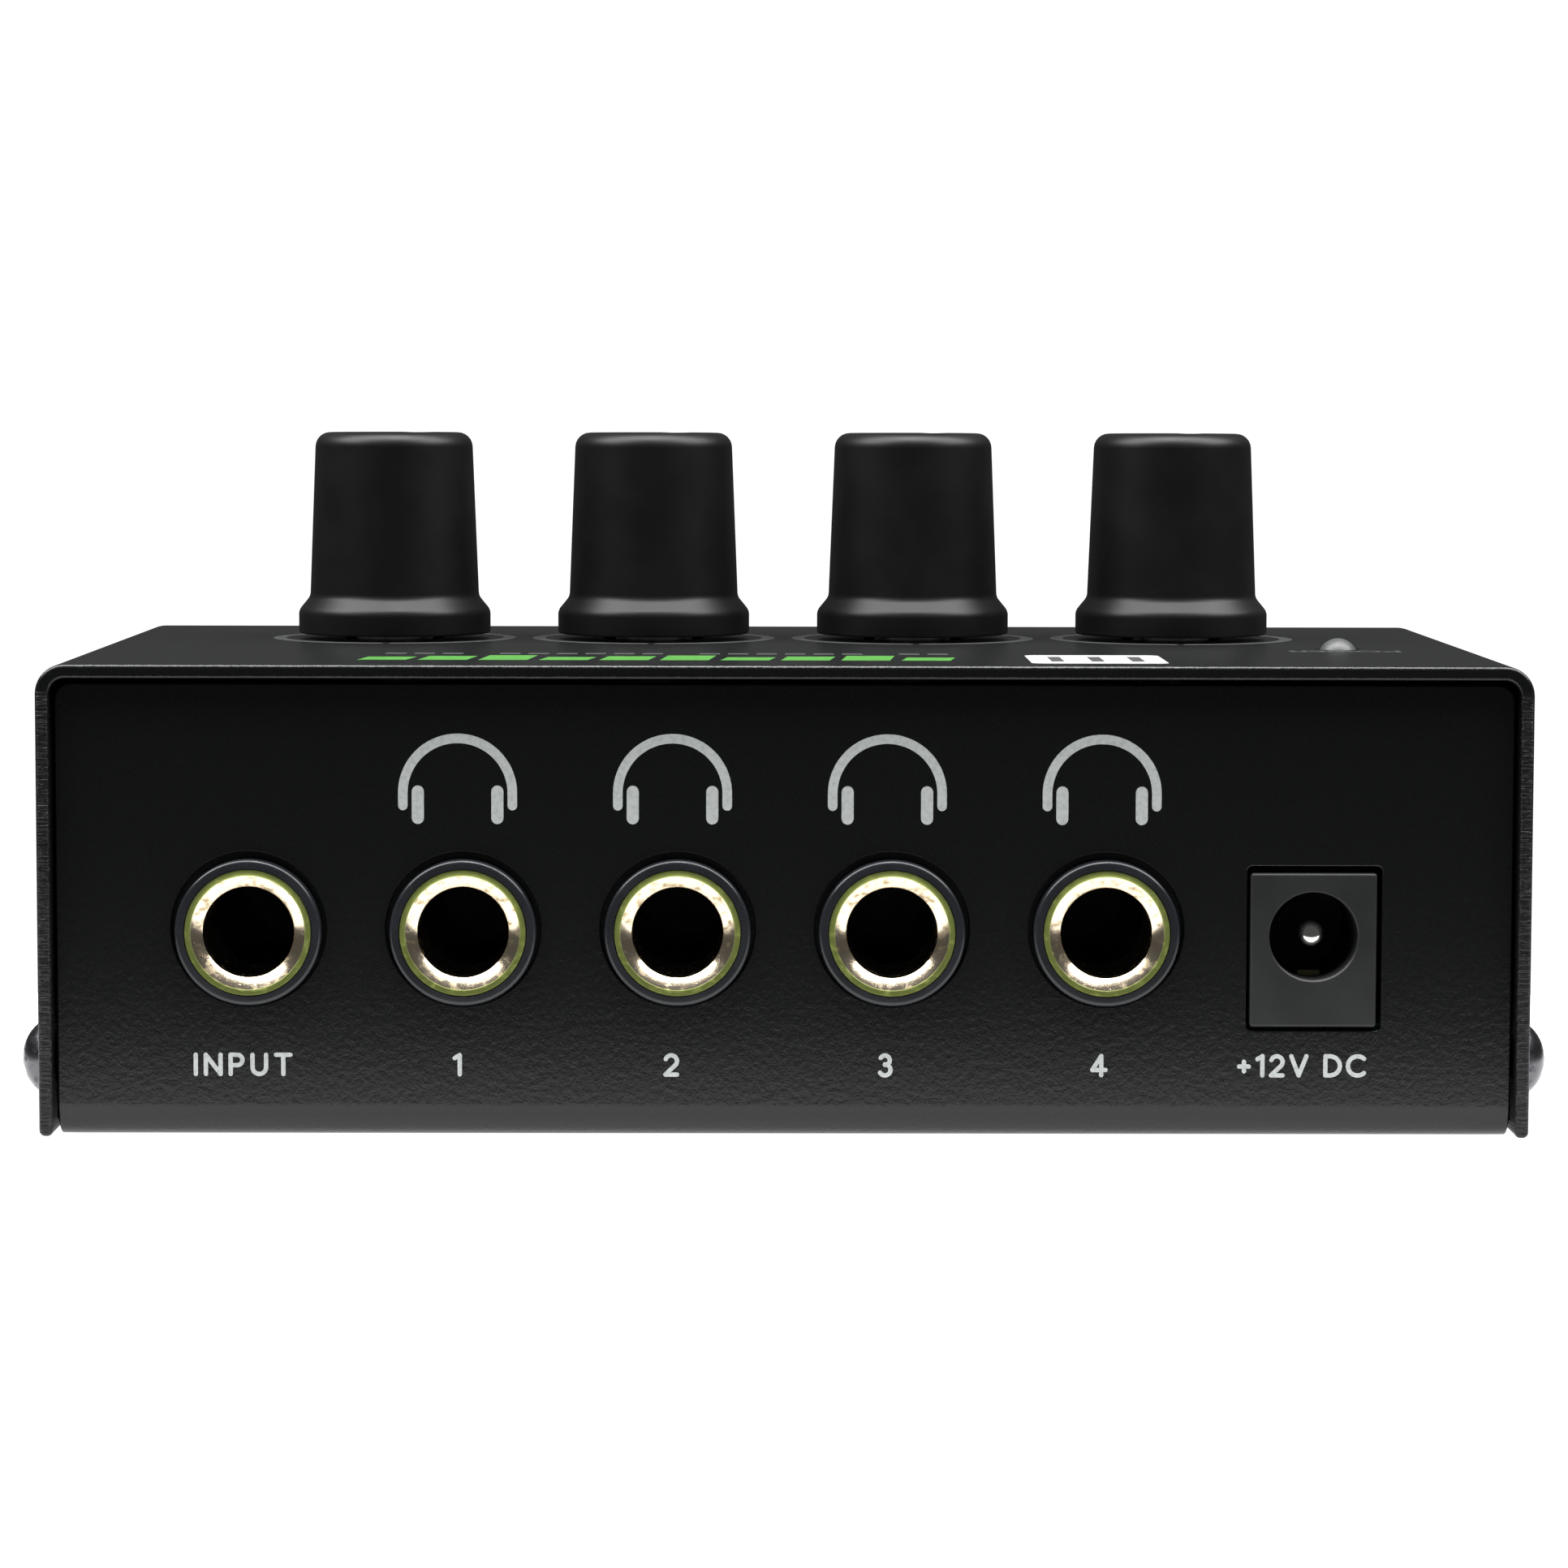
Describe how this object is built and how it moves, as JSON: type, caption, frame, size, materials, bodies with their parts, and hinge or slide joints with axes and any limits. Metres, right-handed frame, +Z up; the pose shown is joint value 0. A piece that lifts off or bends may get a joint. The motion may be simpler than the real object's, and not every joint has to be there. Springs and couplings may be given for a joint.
{
  "type": "headphone amplifier",
  "caption": "Small steel-cased headphone amplifier: quarter-inch sockets and a DC inlet along one panel, tapered volume knobs on the top.",
  "frame": {"origin": "on the surface that the feet stand on, under the middle of the case", "axes": "+Z up, the panel with the sockets faces -Y, +X to the right when that panel is looked at"},
  "size_m": [0.109, 0.058, 0.0509],
  "materials": {
    "black_paint": "fine-texture satin powder coat",
    "knob_plastic": "satin moulded",
    "pointer_white": "matt inlay",
    "brass": "bright turned",
    "black_plastic": "moulded nylon",
    "contact_metal": "bright plated",
    "board_green": "solder mask",
    "foot_rubber": "matt",
    "screw_black": "black nickel",
    "zinc_steel": "zinc plated",
    "led_lens": "diffused clear",
    "capacitor_sleeve": "shrunk sleeve",
    "chip_epoxy": "moulded epoxy"
  },
  "bodies": {
    "case": {"top_cover": "black_paint", "lower_chassis": "black_paint", "cover_screws": "screw_black", "rubber_feet": "foot_rubber", "main_board": "board_green", "board_standoffs": "zinc_steel", "board_screws": "zinc_steel", "electrolytic_capacitors": "capacitor_sleeve", "amplifier_chips": "chip_epoxy", "voltage_regulator": "chip_epoxy", "small_parts": "chip_epoxy", "power_led": "led_lens", "led_holder": "black_plastic", "pot_brackets": "zinc_steel", "dc_inlet_housing": "black_plastic", "dc_inlet_pin": "contact_metal", "dc_inlet_spring": "contact_metal", "jack_housing_input": "black_plastic", "jack_ferrule_input": "brass", "jack_contacts_input": "contact_metal", "jack_housing_1": "black_plastic", "jack_ferrule_1": "brass", "jack_contacts_1": "contact_metal", "jack_housing_2": "black_plastic", "jack_ferrule_2": "brass", "jack_contacts_2": "contact_metal", "jack_housing_3": "black_plastic", "jack_ferrule_3": "brass", "jack_contacts_3": "contact_metal", "jack_housing_4": "black_plastic", "jack_ferrule_4": "brass", "jack_contacts_4": "contact_metal", "pot_body_1": "black_plastic", "pot_body_2": "black_plastic", "pot_body_3": "black_plastic", "pot_body_4": "black_plastic"},
    "volume_1": {"knob_1": "knob_plastic", "knob_pointer_1": "pointer_white", "pot_shaft_1": "zinc_steel", "pot_wiper_1": "black_plastic"},
    "volume_2": {"knob_2": "knob_plastic", "knob_pointer_2": "pointer_white", "pot_shaft_2": "zinc_steel", "pot_wiper_2": "black_plastic"},
    "volume_3": {"knob_3": "knob_plastic", "knob_pointer_3": "pointer_white", "pot_shaft_3": "zinc_steel", "pot_wiper_3": "black_plastic"},
    "volume_4": {"knob_4": "knob_plastic", "knob_pointer_4": "pointer_white", "pot_shaft_4": "zinc_steel", "pot_wiper_4": "black_plastic"},
    "tip_leaf_input": {"jack_tip_spring_input": "contact_metal"},
    "tip_leaf_1": {"jack_tip_spring_1": "contact_metal"},
    "tip_leaf_2": {"jack_tip_spring_2": "contact_metal"},
    "tip_leaf_3": {"jack_tip_spring_3": "contact_metal"},
    "tip_leaf_4": {"jack_tip_spring_4": "contact_metal"}
  },
  "joints": [
    {"name": "volume_1_turn", "type": "hinge", "parent": "case", "child": "volume_1", "pos_m": [-0.03048, 0.0094, 0.03483], "axis": [0, 0, -1], "range_deg": [0, 300]},
    {"name": "volume_2_turn", "type": "hinge", "parent": "case", "child": "volume_2", "pos_m": [-0.01016, 0.0094, 0.03483], "axis": [0, 0, -1], "range_deg": [0, 300]},
    {"name": "volume_3_turn", "type": "hinge", "parent": "case", "child": "volume_3", "pos_m": [0.01016, 0.0094, 0.03483], "axis": [0, 0, -1], "range_deg": [0, 300]},
    {"name": "volume_4_turn", "type": "hinge", "parent": "case", "child": "volume_4", "pos_m": [0.03048, 0.0094, 0.03483], "axis": [0, 0, -1], "range_deg": [0, 300]},
    {"name": "tip_leaf_input_lift", "type": "hinge", "parent": "case", "child": "tip_leaf_input", "pos_m": [-0.0381, -0.0124, 0.02097], "axis": [1, 0, 0], "range_deg": [0, 8], "stiffness_Nm_per_rad": 0.1},
    {"name": "tip_leaf_1_lift", "type": "hinge", "parent": "case", "child": "tip_leaf_1", "pos_m": [-0.02286, -0.0124, 0.02097], "axis": [1, 0, 0], "range_deg": [0, 8], "stiffness_Nm_per_rad": 0.1},
    {"name": "tip_leaf_2_lift", "type": "hinge", "parent": "case", "child": "tip_leaf_2", "pos_m": [-0.00762, -0.0124, 0.02097], "axis": [1, 0, 0], "range_deg": [0, 8], "stiffness_Nm_per_rad": 0.1},
    {"name": "tip_leaf_3_lift", "type": "hinge", "parent": "case", "child": "tip_leaf_3", "pos_m": [0.00762, -0.0124, 0.02097], "axis": [1, 0, 0], "range_deg": [0, 8], "stiffness_Nm_per_rad": 0.1},
    {"name": "tip_leaf_4_lift", "type": "hinge", "parent": "case", "child": "tip_leaf_4", "pos_m": [0.02286, -0.0124, 0.02097], "axis": [1, 0, 0], "range_deg": [0, 8], "stiffness_Nm_per_rad": 0.1}
  ]
}
